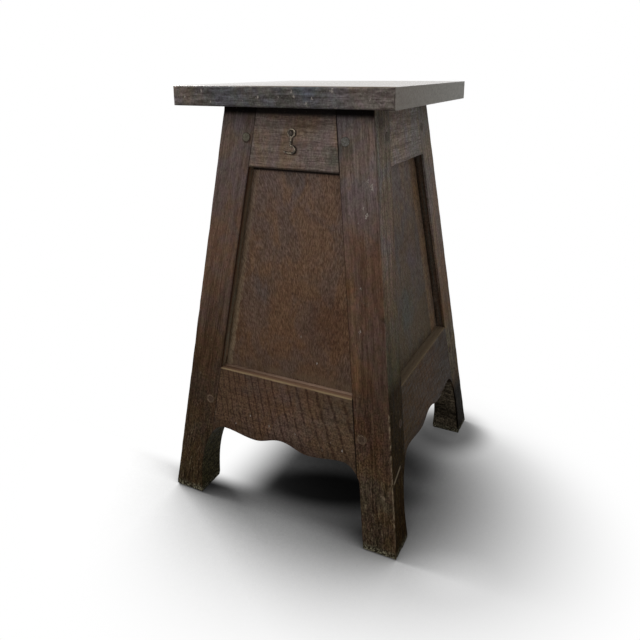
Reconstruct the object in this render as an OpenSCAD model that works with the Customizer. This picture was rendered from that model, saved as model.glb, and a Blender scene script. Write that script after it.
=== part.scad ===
// Small oak side table: a square top on a four-sided body that widens to the floor.
// Four corner legs are joined by pegged rails, and each side holds a sunk panel.
// Millimetres, +Z up, origin on the floor under the middle of the table, front towards -Y.

/* [Overall] */
// Height from the floor to the top of the board
height = 700; // [620:1:780]
// Width across the feet at the floor, left to right
feet_w = 426; // [400:1:470]
// Depth across the feet at the floor, front to back
feet_d = 430; // [400:1:470]
// Width of the body right under the board, left to right
neck_w = 252; // [236:1:300]
// Depth of the body right under the board, front to back
neck_d = 238; // [232:1:300]

/* [Top board] */
// Width of the top, left to right
top_w = 356; // [330:1:420]
// Depth of the top, front to back, shared by its two planks
top_d = 356; // [330:1:420]
// Thickness of the top
top_t = 28; // [24:1:34]

/* [Legs] */
// Width of a leg, as the front shows it
leg_w = 60; // [57:1:66]
// Width of a leg, as the side shows it
leg_d = 55; // [54:1:62]
// Width of a foot at the floor, as the front shows it
foot_w = 57; // [50:1:60]
// Width of a foot at the floor, as the side shows it
foot_d = 54; // [48:1:57]
// How far the inner edge of a foot is hollowed above the floor
foot_hollow = 2; // [0.5:0.5:4]
// Height at which a foot is narrowest
waist_z = 40; // [25:1:60]

/* [Rails] */
// Thickness of every rail
rail_t = 30; // [28:1:34]
// Height of the front and back top rails
head_front = 95; // [80:1:110]
// Height of the top rails at the sides
head_side = 89; // [80:1:110]
// Height above the floor of the front ledge under the panel
ledge_front = 242; // [225:1:260]
// Height above the floor of the side ledge under the panel
ledge_side = 250; // [225:1:260]
// Height above the floor of the front apron's shoulders, where they run into the legs
apron_front = 136; // [125:1:145]
// Height above the floor of the side apron's shoulders
apron_side = 143; // [125:1:148]

/* [Apron outline] */
// Width of the sweep from a shoulder down into the foot
sweep_w = 46; // [35:1:55]
// Distance of an apron's two low points from its middle
lobe_x = 50; // [40:1:60]
// How far the low points hang below the shoulders
lobe_drop = 7; // [2:1:12]
// How far the middle of the apron rises above the shoulders
middle_rise = 4; // [0:1:8]

/* [Panels] */
// Thickness of a panel
panel_t = 8; // [6:0.5:9]
// How far a panel lies behind the face
recess = 16.5; // [15:0.5:18]
// Depth of the grooves that hold a panel
groove = 8; // [6:0.5:10]

/* [Joints] */
// Thickness of a tenon
tenon_t = 10; // [8:0.5:11]
// Length of a tenon in its leg
tenon_l = 34; // [28:1:34]
// How far a tenon lies behind the face
tenon_set = 10; // [8:0.5:11]
// How much lower a tenon is than its rail at each end
tenon_shoulder = 14; // [12:1:16]
// Diameter of the pegs
peg_d = 14; // [10:0.5:16]
// Length of a peg from the face inwards
peg_l = 32; // [26:1:34]
// Distance of a peg's middle from the edge of its leg
peg_set = 12; // [11:0.5:16]
// How far the lower pegs of the front and back lie below the middle of their rail
low_peg_drop = 7; // [0:0.5:10]
// How far the upper pegs of the front and back lie below the middle of their rail
high_peg_drop = 2; // [0:0.5:8]
// How far a peg's end stands out of the face
peg_proud = 0.8; // [0.2:0.1:2]
// Free space between two fitted pieces
fit = 0.1; // [0.05:0.05:0.15]

/* [Cleats] */
// Length of the two cleats that hold the board
cleat_l = 130; // [120:1:140]
// Height of a cleat
cleat_h = 22; // [18:1:26]
// Thickness of a cleat at its top
cleat_t = 24; // [20:1:28]
// Diameter of the wood screws
screw_d = 4; // [3:0.5:5]
// Diameter of a screw's sunk head
screw_head = 8; // [7:0.5:9]
// How far the screws bite into the rails and the board
screw_bite = 15; // [10:1:18]

/* [Hook] */
// Height of the hook's pivot above the floor
hook_z = 631.5; // [626:0.5:634]
// Sideways place of the hook's pivot, left of the middle being minus
hook_x = -3; // [-20:0.5:20]
// Thickness of the hook's wire
wire_d = 3.6; // [3:0.1:4.4]
// Diameter of the hook's eye
eye_d = 15; // [13:0.5:17]
// Thickness of the eye, which is hammered a little flatter than the wire
eye_t = 2.8; // [2:0.1:2.9]
// Diameter of the screw that the hook hangs on
pivot_d = 5; // [4:0.5:6]
// Diameter of that screw's round head
pivot_head = 9; // [8:0.5:10]
// Depth to which that screw goes into the rail
pivot_bite = 18; // [12:1:22]
// Distance from the pivot down to the top of the bow
shank_l = 17.5; // [15:0.5:20]
// Radius of the bow, along the middle of the wire
bow_r = 7.4; // [6:0.1:8]
// Length of the lower limb that ends in the point
limb_l = 17; // [12:0.5:19]
// Play between the hook's eye and its screw, and between the hook and the rail
hook_play = 0.3; // [0.2:0.05:0.5]

/* [Hidden] */
$fn = 48;

// The board rests on the body at this height
body_h = height - top_t;
// Sideways run of the faces for each millimetre of height
taper_w = (feet_w - neck_w) / 2 / body_h;
taper_d = (feet_d - neck_d) / 2 / body_h;
// Longer than the table either way, for cuts that go right through
through = 2 * max(feet_w, feet_d, height);
// A cut goes this far past the face that it starts in
over = 1;
// Each face is given by its half width at the floor, the taper of that width, the width of its
// legs, its distance from the middle at the floor, the taper of that distance, the width of its
// feet, and how far its lower and upper pegs lie below the middle of their rails, which on the
// sides is nothing. The same modules then make the front and, turned a quarter, the side.
FRONT = [feet_w / 2, taper_w, leg_w, feet_d / 2, taper_d, foot_w, low_peg_drop, high_peg_drop];
SIDE = [feet_d / 2, taper_d, leg_d, feet_w / 2, taper_w, foot_d, 0, 0];
FRONT_TURN = 0;
RIGHT_TURN = 90;
BACK_TURN = 180;
LEFT_TURN = 270;

function half_width(face, z) = face[0] - face[1] * z;
function half_clear(face, z) = half_width(face, z) - face[2];
function distance(face, z) = face[3] - face[4] * z;
function lean(face) = atan(face[4]);
function foot_edge(face) = face[0] - face[5];
// Horizontal depth of a layer that is this deep square to the face
function level(face, depth) = depth / cos(lean(face));

head_front_z = body_h - head_front;
head_side_z = body_h - head_side;

// Mouth of the hook: the bow's middle lies below the pivot, and the limb rises on a long bend
bow_start = 100;
bow_drop = shank_l + bow_r;
limb_r = 60;
limb_turn = asin(limb_l / limb_r);
point_l = 5;
point_d = wire_d * 0.45;
knuckle_d = wire_d + 0.2;
hook_gap = hook_play + wire_d / 2;
cap_h = pivot_head * 0.32;
// Screws stand this share of a cleat's half length from its middle
rail_screw_x = cleat_l / 2 * 0.72;
top_screw_x = cleat_l / 2 * 0.3;
sink_h = (screw_head - screw_d) / 2;

// Places

// Stands an outline drawn as width and height on its edge, as deep as the table
module seen_from_front() {
    rotate([90, 0, 0]) linear_extrude(through, center = true) children();
}

// Stands an outline drawn as depth and height on its edge, as wide as the table
module seen_from_side() {
    rotate([90, 0, 90]) linear_extrude(through, center = true) children();
}

// Puts a piece on the face: X runs across it, Y up along it and Z out of it
module on_face(face, x, z) {
    translate([x, -distance(face, z), z]) rotate([90 - lean(face), 0, 0]) children();
}

// A layer behind the face, from one depth to another, between two heights
module layer(face, near, far, low, high) {
    seen_from_side() polygon([
        [level(face, near) - distance(face, low), low],
        [level(face, far) - distance(face, low), low],
        [level(face, far) - distance(face, high), high],
        [level(face, near) - distance(face, high), high]
    ]);
}

// The stretch between the two legs of a face, grown sideways by extra
module between_legs(face, low, high, extra = 0) {
    seen_from_front() polygon([
        [-half_clear(face, low) - extra, low],
        [half_clear(face, low) + extra, low],
        [half_clear(face, high) + extra, high],
        [-half_clear(face, high) - extra, high]
    ]);
}

// Apron outline

// Height of the apron's edge at a distance x from its middle, up to the shoulder
function apron_edge(x, shoulder_x, shoulder_z) = x < lobe_x
    ? shoulder_z + (middle_rise - lobe_drop) / 2 + (middle_rise + lobe_drop) / 2 * cos(180 * x / lobe_x)
    : shoulder_z - lobe_drop * (1 + cos(180 * (x - lobe_x) / (shoulder_x - lobe_x))) / 2;

// Right half of the open space under an apron: the waved edge, the sweep and the foot
function half_arch(face, shoulder_z) = let (
    waist_x = foot_edge(face) + foot_hollow,
    shoulder_x = waist_x - sweep_w,
    wave_n = 24,
    sweep_n = 18,
    foot_n = 4
) concat(
    [for (i = [0 : wave_n - 1]) let (x = shoulder_x * i / wave_n) [x, apron_edge(x, shoulder_x, shoulder_z)]],
    [for (i = [0 : sweep_n]) let (a = 90 - 90 * i / sweep_n)
        [shoulder_x + sweep_w * cos(a), waist_z + (shoulder_z - waist_z) * sin(a)]],
    [for (i = [1 : foot_n]) let (a = 90 * i / foot_n)
        [waist_x - foot_hollow * (1 - cos(a)), waist_z * (1 - i / foot_n)]],
    [[foot_edge(face), -over]]
);

module arch(face, shoulder_z) {
    right = half_arch(face, shoulder_z);
    left = [for (i = [len(right) - 1 : -1 : 1]) [-right[i][0], right[i][1]]];
    seen_from_front() polygon(concat(right, left));
}

// Pegs and joints, all made on the front and turned to the other sides

function low_peg_z(face, shoulder_z, ledge_z) = (shoulder_z + ledge_z) / 2 - face[6];
function high_peg_z(face, head_z) = (head_z + body_h) / 2 - face[7];

// Puts a peg or its hole at both ends of a rail, at this height
module peg_pair(face, z) {
    for (x = [-1, 1] * (half_clear(face, z) + peg_set)) on_face(face, x, z) children();
}

module peg_hole() {
    translate([0, 0, -peg_l - fit]) cylinder(h = peg_l + fit + over, d = peg_d + 2 * fit);
}

module peg() {
    edge = peg_proud;
    rotate_extrude() polygon([
        [0, -peg_l], [peg_d / 2 - edge, -peg_l], [peg_d / 2, edge - peg_l],
        [peg_d / 2, 0], [peg_d / 2 - edge, peg_proud], [0, peg_proud]
    ]);
}

module tenons(face, low, high, grow = 0) {
    intersection() {
        layer(face, tenon_set - grow, tenon_set + tenon_t + grow, low - grow, high + grow);
        between_legs(face, low - grow, high + grow, tenon_l + grow);
    }
}

module face_mortises(face, shoulder_z, ledge_z, head_z) {
    tenons(face, shoulder_z + tenon_shoulder, ledge_z - tenon_shoulder, fit);
    tenons(face, head_z + tenon_shoulder, body_h - tenon_shoulder, fit);
}

module face_peg_holes(face, shoulder_z, ledge_z, head_z) {
    peg_pair(face, low_peg_z(face, shoulder_z, ledge_z)) peg_hole();
    peg_pair(face, high_peg_z(face, head_z)) peg_hole();
}

// Space that a panel needs in its frame, or the panel itself when nothing is added
module panel_space(face, ledge_z, head_z, grow = 0) {
    low = ledge_z - groove + fit - grow;
    high = head_z + groove - fit + grow;
    intersection() {
        layer(face, recess + fit - grow, recess + panel_t - fit + grow, low, high);
        between_legs(face, low, high, groove - fit + grow);
    }
}

// Legs

// The front right leg is what its two views share, less the arches, grooves and joints
module leg() {
    difference() {
        intersection() {
            seen_from_front() polygon([
                [half_clear(FRONT, 0), 0], [half_width(FRONT, 0), 0],
                [half_width(FRONT, body_h), body_h], [half_clear(FRONT, body_h), body_h]
            ]);
            seen_from_side() polygon([
                [-half_clear(SIDE, 0), 0], [-half_width(SIDE, 0), 0],
                [-half_width(SIDE, body_h), body_h], [-half_clear(SIDE, body_h), body_h]
            ]);
        }
        arch(FRONT, apron_front);
        rotate(RIGHT_TURN) arch(SIDE, apron_side);
        panel_space(FRONT, ledge_front, head_front_z, fit);
        rotate(RIGHT_TURN) panel_space(SIDE, ledge_side, head_side_z, fit);
        face_mortises(FRONT, apron_front, ledge_front, head_front_z);
        rotate(RIGHT_TURN) face_mortises(SIDE, apron_side, ledge_side, head_side_z);
        face_peg_holes(FRONT, apron_front, ledge_front, head_front_z);
        rotate(RIGHT_TURN) face_peg_holes(SIDE, apron_side, ledge_side, head_side_z);
    }
}

module leg_front_right() {
    color("#4a3129") leg();
}

module leg_front_left() {
    color("#4d332b") mirror([1, 0, 0]) leg();
}

module leg_back_right() {
    color("#463029") mirror([0, 1, 0]) leg();
}

module leg_back_left() {
    color("#483129") mirror([0, 1, 0]) mirror([1, 0, 0]) leg();
}

// Rails

module top_rail(face, head_z) {
    difference() {
        union() {
            intersection() {
                layer(face, 0, rail_t, head_z, body_h);
                between_legs(face, head_z, body_h);
            }
            tenons(face, head_z + tenon_shoulder, body_h - tenon_shoulder);
        }
        panel_space(face, head_z - 2 * groove, head_z, fit);
        peg_pair(face, high_peg_z(face, head_z)) peg_hole();
    }
}

module bottom_rail(face, shoulder_z, ledge_z) {
    difference() {
        union() {
            intersection() {
                layer(face, 0, rail_t, waist_z, ledge_z);
                between_legs(face, waist_z, ledge_z);
            }
            tenons(face, shoulder_z + tenon_shoulder, ledge_z - tenon_shoulder);
        }
        arch(face, shoulder_z);
        panel_space(face, ledge_z, ledge_z + 2 * groove, fit);
        peg_pair(face, low_peg_z(face, shoulder_z, ledge_z)) peg_hole();
    }
}

module top_rail_front() {
    color("#4b3a32") difference() {
        top_rail(FRONT, head_front_z);
        cleat_rail_screws(fit);
        hook_screw_shape(fit);
    }
}

module top_rail_back() {
    color("#49382f") rotate(BACK_TURN) difference() {
        top_rail(FRONT, head_front_z);
        cleat_rail_screws(fit);
    }
}

module top_rail_left() {
    color("#463831") rotate(LEFT_TURN) top_rail(SIDE, head_side_z);
}

module top_rail_right() {
    color("#463831") rotate(RIGHT_TURN) top_rail(SIDE, head_side_z);
}

module bottom_rail_front() {
    color("#503a30") bottom_rail(FRONT, apron_front, ledge_front);
}

module bottom_rail_back() {
    color("#4e392f") rotate(BACK_TURN) bottom_rail(FRONT, apron_front, ledge_front);
}

module bottom_rail_left() {
    color("#4a3830") rotate(LEFT_TURN) bottom_rail(SIDE, apron_side, ledge_side);
}

module bottom_rail_right() {
    color("#4a3830") rotate(RIGHT_TURN) bottom_rail(SIDE, apron_side, ledge_side);
}

// Panels

module panel_front() {
    color("#4c392f") panel_space(FRONT, ledge_front, head_front_z);
}

module panel_back() {
    color("#4a382e") rotate(BACK_TURN) panel_space(FRONT, ledge_front, head_front_z);
}

module panel_left() {
    color("#47372f") rotate(LEFT_TURN) panel_space(SIDE, ledge_side, head_side_z);
}

module panel_right() {
    color("#47372f") rotate(RIGHT_TURN) panel_space(SIDE, ledge_side, head_side_z);
}

// Pegs

module face_pegs(face, shoulder_z, ledge_z, head_z) {
    peg_pair(face, low_peg_z(face, shoulder_z, ledge_z)) peg();
    peg_pair(face, high_peg_z(face, head_z)) peg();
}

module pegs_front() {
    color("#5a4034") face_pegs(FRONT, apron_front, ledge_front, head_front_z);
}

module pegs_back() {
    color("#5a4034") rotate(BACK_TURN) face_pegs(FRONT, apron_front, ledge_front, head_front_z);
}

module pegs_left() {
    color("#5a4034") rotate(LEFT_TURN) face_pegs(SIDE, apron_side, ledge_side, head_side_z);
}

module pegs_right() {
    color("#5a4034") rotate(RIGHT_TURN) face_pegs(SIDE, apron_side, ledge_side, head_side_z);
}

// Cleats and their screws, made at the front and turned to the back

// Depth at which the cleat meets the rail's inner side at the top, and its free side
cleat_back_y = level(FRONT, rail_t) - distance(FRONT, body_h);
cleat_free_y = cleat_back_y + cleat_t;
cleat_mid_z = body_h - cleat_h / 2;

module cleat() {
    low = body_h - cleat_h;
    difference() {
        intersection() {
            seen_from_front() translate([-cleat_l / 2, low]) square([cleat_l, cleat_h]);
            seen_from_side() polygon([
                [level(FRONT, rail_t) - distance(FRONT, low), low],
                [cleat_free_y, low], [cleat_free_y, body_h], [cleat_back_y, body_h]
            ]);
        }
        cleat_rail_screws(fit);
        cleat_top_screws(fit);
    }
}

// A wood screw with its head flush at the origin and its tip up the Z axis
module wood_screw(length, grow) {
    r = screw_d / 2 + grow;
    head_r = screw_head / 2 + grow;
    sink = sink_h + grow;
    tip = screw_d / 2;
    rotate_extrude() polygon([
        [0, -grow / 2], [head_r, -grow / 2], [head_r, 0], [r, sink],
        [r, length - tip + grow], [r / 4, length + grow], [0, length + grow]
    ]);
}

module cleat_rail_screws(grow = 0) {
    length = cleat_free_y - cleat_back_y + level(FRONT, screw_bite);
    for (x = [-rail_screw_x, rail_screw_x])
        translate([x, cleat_free_y, cleat_mid_z]) rotate([90, 0, 0]) wood_screw(length, grow);
}

module cleat_top_screws(grow = 0) {
    y = (cleat_back_y + cleat_free_y) / 2;
    for (x = [-top_screw_x, top_screw_x])
        translate([x, y, body_h - cleat_h]) wood_screw(cleat_h + screw_bite, grow);
}

module cleat_front() {
    color("#8a6a48") cleat();
}

module cleat_back() {
    color("#8a6a48") rotate(BACK_TURN) cleat();
}

module cleat_screws() {
    color("#8c8273") for (turn = [FRONT_TURN, BACK_TURN]) rotate(turn) cleat_rail_screws();
}

module top_screws() {
    color("#8c8273") for (turn = [FRONT_TURN, BACK_TURN]) rotate(turn) cleat_top_screws();
}

// Top

module top_plank() {
    difference() {
        translate([-top_w / 2, -top_d / 2, body_h]) cube([top_w, top_d / 2, top_t]);
        cleat_top_screws(fit);
    }
}

module top_plank_front() {
    color("#57514b") top_plank();
}

module top_plank_back() {
    color("#544e48") rotate(BACK_TURN) top_plank();
}

// Hook: one bent wire with a flattened eye, loose on a round-headed screw

module hook_screw_shape(grow = 0) {
    r = pivot_d / 2 + grow;
    neck = 2 * hook_play + wire_d;
    tip = pivot_d / 2;
    on_face(FRONT, hook_x, hook_z) rotate_extrude() polygon(concat(
        [[0, -pivot_bite - grow], [r / 4, -pivot_bite - grow], [r, tip - pivot_bite]],
        [[r, neck], [pivot_head / 2, neck]],
        [for (a = [15 : 15 : 90]) [pivot_head / 2 * cos(a), neck + cap_h * sin(a)]]
    ));
}

module hook_screw() {
    color("#6b5637") hook_screw_shape();
}

// Slightly thicker than the wire, where one stretch of it is worked into the next
module knuckle() {
    sphere(d = knuckle_d, $fn = 24);
}

// Lies in the XY plane with the pivot at the origin and Y up, the wire's middle at this height
module hook_wire() {
    eye_r = eye_d / 2;
    bore_r = pivot_d / 2 + hook_play;
    rim_r = eye_t / 2;
    shank_top_y = -(bore_r + eye_r) / 2;
    bow_top = [bow_r * cos(bow_start), bow_r * sin(bow_start) - bow_drop];
    // The eye with its rounded rim, and the shank that runs down from it, round a straight bore
    difference() {
        union() {
            rotate_extrude() {
                translate([eye_r - rim_r, 0]) circle(rim_r, $fn = 24);
                translate([0, -rim_r]) square([eye_r - rim_r, eye_t]);
            }
            translate(bow_top) rotate([-90, 0, atan2(bow_top[0], shank_top_y - bow_top[1])])
                cylinder(h = norm([bow_top[0], shank_top_y - bow_top[1]]), d = wire_d, $fn = 24);
            translate(bow_top) knuckle();
        }
        cylinder(h = 2 * wire_d, r = bore_r, center = true);
    }
    // The bow, from the shank round to the lowest point
    translate([0, -bow_drop, 0]) rotate(-90) rotate_extrude(angle = 90 + bow_start)
        translate([bow_r, 0]) circle(d = wire_d, $fn = 24);
    translate([0, -bow_drop - bow_r, 0]) knuckle();
    // The limb, rising gently to the left, and its point
    translate([0, limb_r - bow_drop - bow_r, 0]) {
        rotate(-90 - limb_turn) rotate_extrude(angle = limb_turn)
            translate([limb_r, 0]) circle(d = wire_d, $fn = 24);
        rotate(-limb_turn) translate([0, -limb_r, 0]) rotate([0, -90, 0])
            cylinder(h = point_l, d1 = wire_d, d2 = point_d, $fn = 24);
    }
}

module hook() {
    color("#7d6541") on_face(FRONT, hook_x, hook_z) translate([0, 0, hook_gap]) hook_wire();
}

leg_front_left();
leg_front_right();
leg_back_left();
leg_back_right();
top_rail_front();
top_rail_back();
top_rail_left();
top_rail_right();
bottom_rail_front();
bottom_rail_back();
bottom_rail_left();
bottom_rail_right();
panel_front();
panel_back();
panel_left();
panel_right();
pegs_front();
pegs_back();
pegs_left();
pegs_right();
top_plank_front();
top_plank_back();
cleat_front();
cleat_back();
cleat_screws();
top_screws();
hook();
hook_screw();
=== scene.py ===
# Small dark oak side table with a square top on a splayed, panelled and pegged body.
# Metres, +Z up, front towards -Y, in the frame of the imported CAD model.
import math

import bmesh
import bpy
from mathutils import Matrix


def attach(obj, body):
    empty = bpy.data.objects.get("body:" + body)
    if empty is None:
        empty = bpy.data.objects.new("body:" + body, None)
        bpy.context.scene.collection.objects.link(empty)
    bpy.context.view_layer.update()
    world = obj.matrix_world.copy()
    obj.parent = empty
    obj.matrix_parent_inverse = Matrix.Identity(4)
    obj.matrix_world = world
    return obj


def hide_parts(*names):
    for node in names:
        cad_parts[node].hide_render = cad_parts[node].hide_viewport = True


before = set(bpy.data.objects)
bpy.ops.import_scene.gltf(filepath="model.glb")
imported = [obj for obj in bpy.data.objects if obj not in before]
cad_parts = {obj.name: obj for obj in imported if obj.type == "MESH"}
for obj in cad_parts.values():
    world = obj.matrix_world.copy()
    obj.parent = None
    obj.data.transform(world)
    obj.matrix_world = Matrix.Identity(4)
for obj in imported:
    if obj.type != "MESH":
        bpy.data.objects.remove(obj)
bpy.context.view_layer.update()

scene = bpy.context.scene


# Camera: stands a metre off the front right corner, level with the board, and looks down a
# little. The lens and the small shift give the photograph's framing.
CAMERA_PLACE = (0.44629, -0.91742, 0.72238)
CAMERA_TURN, CAMERA_DIP, CAMERA_ROLL = 0.4537, 0.3155, -0.0067
bpy.ops.object.camera_add()
camera = bpy.context.object
camera.name = "camera"
camera.matrix_world = (
    Matrix.Translation(CAMERA_PLACE)
    @ Matrix.Rotation(CAMERA_TURN, 4, "Z")
    @ Matrix.Rotation(math.pi / 2 - CAMERA_DIP, 4, "X")
    @ Matrix.Rotation(CAMERA_ROLL, 4, "Z")
)
camera.data.sensor_width = 36
camera.data.lens = 33.684
camera.data.shift_x = -0.01698
camera.data.shift_y = -0.0875
camera.data.clip_start = 0.02
scene.camera = camera
scene.view_settings.view_transform = "Standard"


# Floor and backdrop: a sheet of matt white studio paper that the table stands on. It keeps the
# table's soft shadow, deepened with painted shade and painted shadow ovals and lifted in places
# with painted light, and runs out into plain white.
class Stain:
    """One socket of a finish, mixed with others by plain sums."""

    def __init__(self, tree, socket=None):
        self.tree, self.socket = tree, socket

    def node(self, kind, settings=None, sockets=None, out=0):
        """Any other node: its settings are set first, then its sockets' values or links."""
        made = self.tree.nodes.new("ShaderNode" + kind)
        for name, value in (settings or {}).items():
            if name == "stops":
                stops = made.color_ramp.elements
                for number, (at, colour) in enumerate(value):
                    stop = stops[number] if number < 2 else stops.new(at)
                    stop.position, stop.color = at, colour
            else:
                setattr(made, name, value)
        for name, value in (sockets or {}).items():
            if isinstance(value, Stain):
                self.tree.links.new(value.socket, made.inputs[name])
            else:
                made.inputs[name].default_value = value
        return Stain(self.tree, made.outputs[out] if made.outputs else None)

    def maths(self, operation, *others):
        return self.node("Math", {"operation": operation}, dict(enumerate((self, *others))))

    def __add__(self, other):
        return self.maths("ADD", other)

    def __sub__(self, other):
        return self.maths("SUBTRACT", other)

    def __rsub__(self, other):
        return self.node("Math", {"operation": "SUBTRACT"}, {0: other, 1: self})

    def __mul__(self, other):
        return self.maths("MULTIPLY", other)

    def __abs__(self):
        return self.maths("ABSOLUTE")

    __radd__, __rmul__ = __add__, __mul__


def new_finish(name):
    """A material with an empty tree, the place on the piece, and its x, y and z in metres."""
    material = bpy.data.materials.new(name)
    material.use_nodes = True
    material.node_tree.nodes.clear()
    place = Stain(material.node_tree).node("TexCoord", out=3)
    axes = [place.node("SeparateXYZ", sockets={0: place}, out=axis) for axis in range(3)]
    return material, place, axes


def rising(value, low, high):
    """0 where the value is under low, 1 where it is over high, and a soft slope between."""
    return value.node("MapRange", {"interpolation_type": "SMOOTHSTEP"}, {0: value, 1: low, 2: high})


PAPER_SIZE, PAPER_DROP = 24, 0.0002
PAPER_WHITE, PAPER_UNSEEN = 0.95, 0.35
RUN_OUT_FROM, RUN_OUT_TO = 0.192, 0.585
paper, place, (x, y, z) = new_finish("studio_paper")


def away_from(across, along, flat=1.0, turn=0.0):
    """Distance on the paper from a spot, in turned ovals this many times as wide as deep."""
    aside, ahead = x - across, y - along
    wide = aside * math.cos(turn) + ahead * math.sin(turn)
    deep = (ahead * math.cos(turn) - aside * math.sin(turn)) * flat
    return (wide * wide + deep * deep).maths("SQRT")


seen = place.node("LightPath", out=0)
mirrored = place.node("LightPath", out=3)
# How open the paper is to the room round it; squared, it darkens the paper below as painted shade
open_sky = place.node("AmbientOcclusion", {"samples": 16}, {1: 0.8}, out=1)
# Painted shadow ovals under the table, by the far foot and by the near leg, and a painted pool of
# light by the near foot
under = 1 - rising(away_from(0.0435, -0.107, 2.98, 0.29), 0.075, 0.213)
shadow_by_far_foot = 1 - rising(away_from(0.184, 0.166), 0.042, 0.112)
shadow_by_near_leg = 1 - rising(away_from(0.170, 0.030), 0.010, 0.080)
light_by_near_foot = 1 - rising(away_from(0.292, -0.203, 1.5, 0.4536), 0.010, 0.090)
shown = open_sky.maths("POWER", 2.0) * PAPER_WHITE * (1 - under * 0.90)
shown = shown * (1 - shadow_by_far_foot * 0.60) * (1 - shadow_by_near_leg * 0.45) * (1 + light_by_near_foot * 0.22)
pale = PAPER_UNSEEN + (shown - PAPER_UNSEEN) * seen
grey = place.node("CombineXYZ", sockets={0: pale, 1: pale, 2: pale})
matt = place.node("BsdfDiffuse", sockets={0: grey})
white = place.node("Emission", sockets={0: (1, 1, 1, 1), 1: 1.0})
run_out = rising(away_from(-0.003, -0.078, 1.26), RUN_OUT_FROM, RUN_OUT_TO)
# A painted pool of light on the paper under the left of the table
lit_left = rising(x, -0.045, -0.180) * rising(y, -0.190, -0.150)
run_out = run_out.maths("MAXIMUM", lit_left) * (1 - shadow_by_far_foot * 0.75) + light_by_near_foot * 0.06
run_out = run_out * (seen + mirrored).maths("MINIMUM", 1.0)
mixed = place.node("MixShader", sockets={0: run_out, 1: matt, 2: white})
place.node("OutputMaterial", sockets={0: mixed})
bpy.ops.mesh.primitive_plane_add(size=PAPER_SIZE, location=(0, 0, -PAPER_DROP))
floor = bpy.context.object
floor.name = "floor"
floor.data.materials.append(paper)


# Studio light: an even pale room, a broad soft lamp at the back left and a weaker one at the
# front that leaves the paper alone. What looks past the paper, or mirrors it, sees plain white.
ROOM_LIGHT = 0.40
world = bpy.data.worlds.new("room")
scene.world = world
world.use_nodes = True
world.node_tree.nodes.clear()
room = Stain(world.node_tree)
room_light = room.node("Background", sockets={0: (1, 1, 1, 1), 1: ROOM_LIGHT})
backdrop = room.node("Background", sockets={0: (1, 1, 1, 1), 1: 1.0})
looked_at, mirrored, seen_through = [room.node("LightPath", out=ray) for ray in (0, 3, 6)]
past = (looked_at + mirrored + seen_through).maths("MINIMUM", 1.0)
surroundings = room.node("MixShader", sockets={0: past, 1: room_light, 2: backdrop})
room.node("OutputWorld", sockets={0: surroundings})


def soft_lamp(name, spot, aim, side, power):
    """A square soft box at a spot, turned towards the aim."""
    bpy.ops.object.light_add(type="AREA", location=spot)
    lamp = bpy.context.object
    lamp.name = name
    lamp.data.shape = "SQUARE"
    lamp.data.size = side
    lamp.data.energy = power
    across, along, down = [a - s for a, s in zip(aim, spot)]
    tilt, turn = math.atan2(math.hypot(across, along), -down), math.atan2(along, across)
    lamp.rotation_euler = (tilt, 0, turn - math.pi / 2)
    return lamp


soft_lamp("lamp_left", spot=(-2.3, 0.5, 1.9), aim=(0, 0, 0.2), side=1.8, power=150)
lamp_front = soft_lamp("lamp_front", spot=(-0.5, -2.6, 1.5), aim=(0, 0, 0.5), side=1.6, power=38)
unlit = bpy.data.collections.new("unlit_by_lamp_front")
unlit.objects.link(floor)
lamp_front.light_linking.receiver_collection = unlit
unlit.collection_objects[0].light_linking.link_state = "EXCLUDE"


# Legs: four solid oak posts, sawn to splay both ways and hollowed into feet. They are mortised
# for the rails, grooved for the panels and drilled for the pegs, and handling has rounded the
# arrises. Dark stain, greyer near the top and darker towards the floor.
FEET_X, LEAN_X, LEG_X = 0.213, 0.129464, 0.060
FEET_Y, LEAN_Y, LEG_Y = 0.215, 0.142857, 0.055
LEG_TOP = 0.672
PEG_IN, PEG_CLEAR = 0.012, 0.0095
FRONT_PEGS, SIDE_PEGS = (0.182, 0.6225), (0.1965, 0.6275)
ARRIS_ROUND, SOLE_ROUND, SAWN_ROUND = 0.0022, 0.0030, 0.0008
# The near leg is wider at its foot, and the left one deeper, than the others are
FOOT_WIDE, FOOT_DEEP = 0.056, 0.0545
ON_FACE = 1e-4
SHARP, SMOOTH, FLAT = math.radians(12), math.radians(40), math.radians(0.5)


def behind(x, y, z):
    """How far a place lies behind the front or back face, and behind the side face."""
    return FEET_Y - LEAN_Y * z - abs(y), FEET_X - LEAN_X * z - abs(x)


def front_joint(height):
    """Distance from the middle of the front at which the rails and panel meet the leg."""
    return FEET_X - LEG_X - LEAN_X * height


def side_joint(height):
    """The same on a side."""
    return FEET_Y - LEG_Y - LEAN_Y * height


def on_front(across, height, sunk=0.0):
    """The spot on the front face, or this far behind it, at a place across and a height."""
    return across, LEAN_Y * height - FEET_Y + sunk, height


def on_side(across, height, sunk=0.0):
    """The same on the right side."""
    return FEET_X - LEAN_X * height - sunk, across, height


def near_peg(spot):
    """Whether a spot lies by the rim of a peg's hole."""
    rims = [(abs(spot.x) - front_joint(height), spot.z - height) for height in FRONT_PEGS]
    rims += [(abs(spot.y) - side_joint(height), spot.z - height) for height in SIDE_PEGS]
    return any(math.hypot(across - PEG_IN, up) < PEG_CLEAR for across, up in rims)


def worn_copy(node, name):
    """A merged copy of a CAD node's mesh as a new piece, open for work on its edges."""
    piece = bpy.data.objects.new(name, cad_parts[node].data.copy())
    scene.collection.objects.link(piece)
    bpy.ops.object.select_all(action="DESELECT")
    piece.select_set(True)
    bpy.context.view_layer.objects.active = piece
    bpy.ops.object.mode_set(mode="EDIT")
    bpy.context.tool_settings.mesh_select_mode = (False, True, False)
    bpy.ops.mesh.select_all(action="SELECT")
    bpy.ops.mesh.remove_doubles(threshold=1e-6)
    bpy.ops.mesh.select_all(action="SELECT")
    bpy.ops.mesh.dissolve_limited(angle_limit=FLAT)
    return piece


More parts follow.
